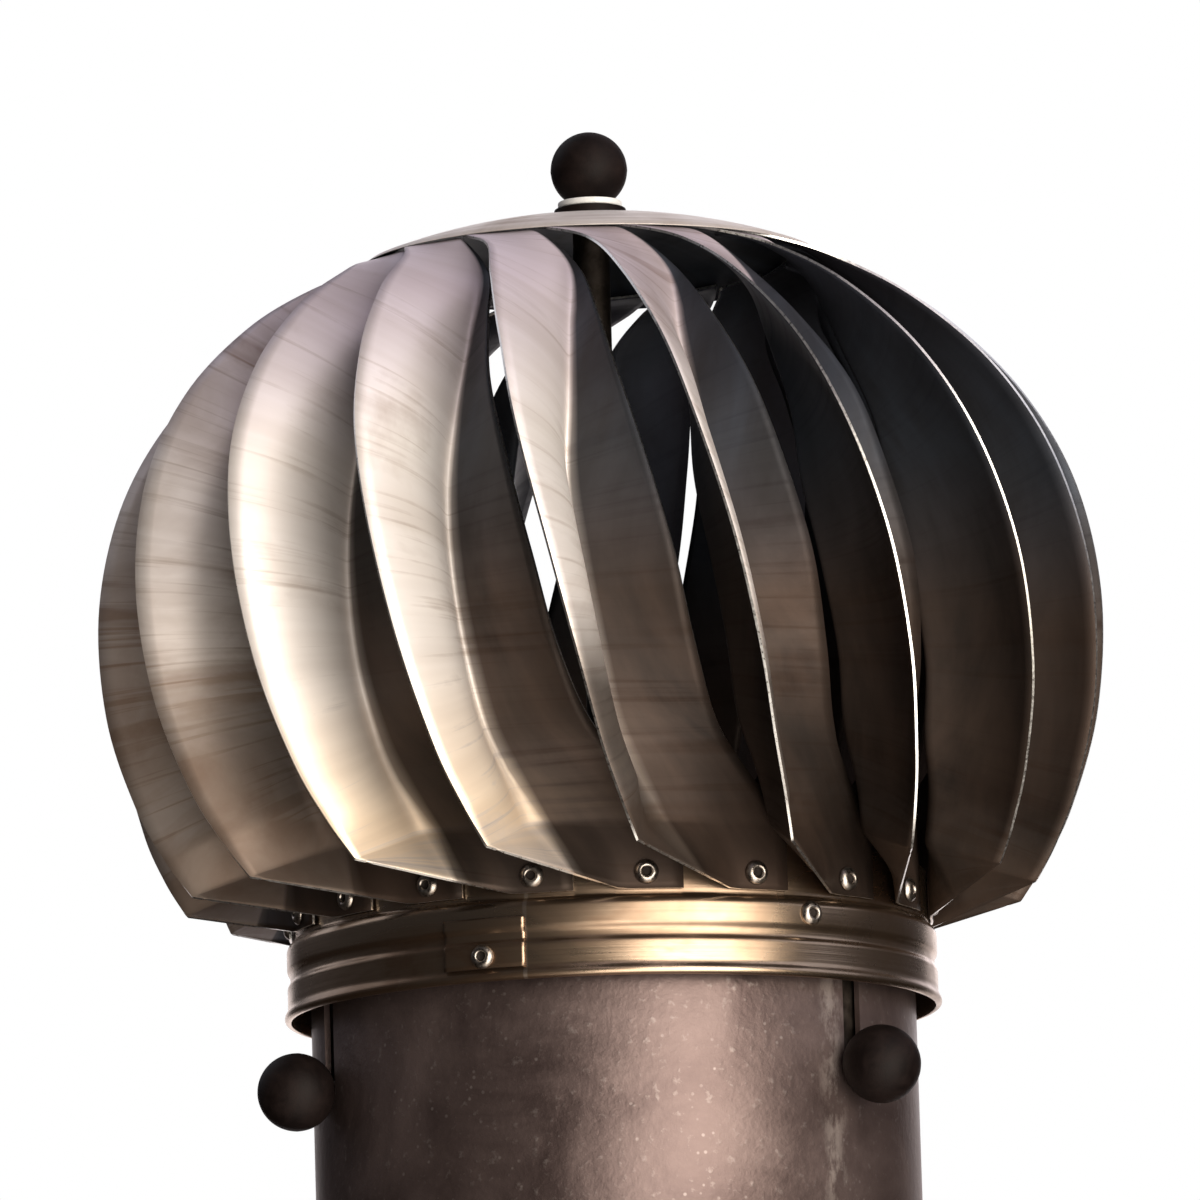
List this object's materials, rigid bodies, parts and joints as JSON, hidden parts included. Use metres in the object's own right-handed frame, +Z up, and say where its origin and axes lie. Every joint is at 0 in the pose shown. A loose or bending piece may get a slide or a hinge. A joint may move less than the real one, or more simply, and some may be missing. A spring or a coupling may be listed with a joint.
{
  "type": "rotating chimney cowl",
  "caption": "Ball of creased, swept sheet-metal vanes under a shallow cap, turning on a fixed flue sleeve; wind spins it and it draws the flue.",
  "frame": {"origin": "on the spin axis, at the cut lower rim of the flue sleeve", "axes": "+Z up along the spin axis; -Y faces the camera of the picture; +X to the right in the picture"},
  "size_m": [0.3332, 0.3322, 0.3756],
  "materials": {
    "vane_steel": "brushed stainless sheet with brown heat tarnish",
    "band_steel": "brushed stainless sheet with golden heat tarnish",
    "sleeve_steel": "matt, sooty brown with pale spatter",
    "inner_steel": "sooty steel",
    "rivet_steel": "dull bright rivet steel",
    "zinc": "bright zinc",
    "knob_plastic": "worn dark brown-black plastic"
  },
  "bodies": {
    "stator": {"flue_sleeve": "sleeve_steel", "spindle_spider": "inner_steel", "clamp_screw_01": "rivet_steel", "clamp_screw_02": "rivet_steel", "clamp_screw_03": "rivet_steel", "clamp_knob_01": "knob_plastic", "clamp_knob_02": "knob_plastic", "clamp_knob_03": "knob_plastic"},
    "rotor": {"collar": "band_steel", "collar_lap": "band_steel", "top_cap": "vane_steel", "spindle": "inner_steel", "finial_disc": "knob_plastic", "finial_washer": "zinc", "finial_knob": "knob_plastic", "vane_01": "vane_steel", "vane_02": "vane_steel", "vane_03": "vane_steel", "vane_04": "vane_steel", "vane_05": "vane_steel", "vane_06": "vane_steel", "vane_07": "vane_steel", "vane_08": "vane_steel", "vane_09": "vane_steel", "vane_10": "vane_steel", "vane_11": "vane_steel", "vane_12": "vane_steel", "vane_13": "vane_steel", "vane_14": "vane_steel", "vane_15": "vane_steel", "vane_16": "vane_steel", "vane_17": "vane_steel", "vane_18": "vane_steel", "vane_rivet_01": "rivet_steel", "vane_rivet_02": "rivet_steel", "vane_rivet_03": "rivet_steel", "vane_rivet_04": "rivet_steel", "vane_rivet_05": "rivet_steel", "vane_rivet_06": "rivet_steel", "vane_rivet_07": "rivet_steel", "vane_rivet_08": "rivet_steel", "vane_rivet_09": "rivet_steel", "vane_rivet_10": "rivet_steel", "vane_rivet_11": "rivet_steel", "vane_rivet_12": "rivet_steel", "vane_rivet_13": "rivet_steel", "vane_rivet_14": "rivet_steel", "vane_rivet_15": "rivet_steel", "vane_rivet_16": "rivet_steel", "vane_rivet_17": "rivet_steel", "vane_rivet_18": "rivet_steel", "lap_rivet": "rivet_steel", "band_rivet": "rivet_steel"}
  },
  "joints": [
    {"name": "spin", "type": "hinge", "parent": "stator", "child": "rotor", "pos_m": [0, 0, 0.202], "axis": [0, 0, 1], "continuous": true}
  ]
}
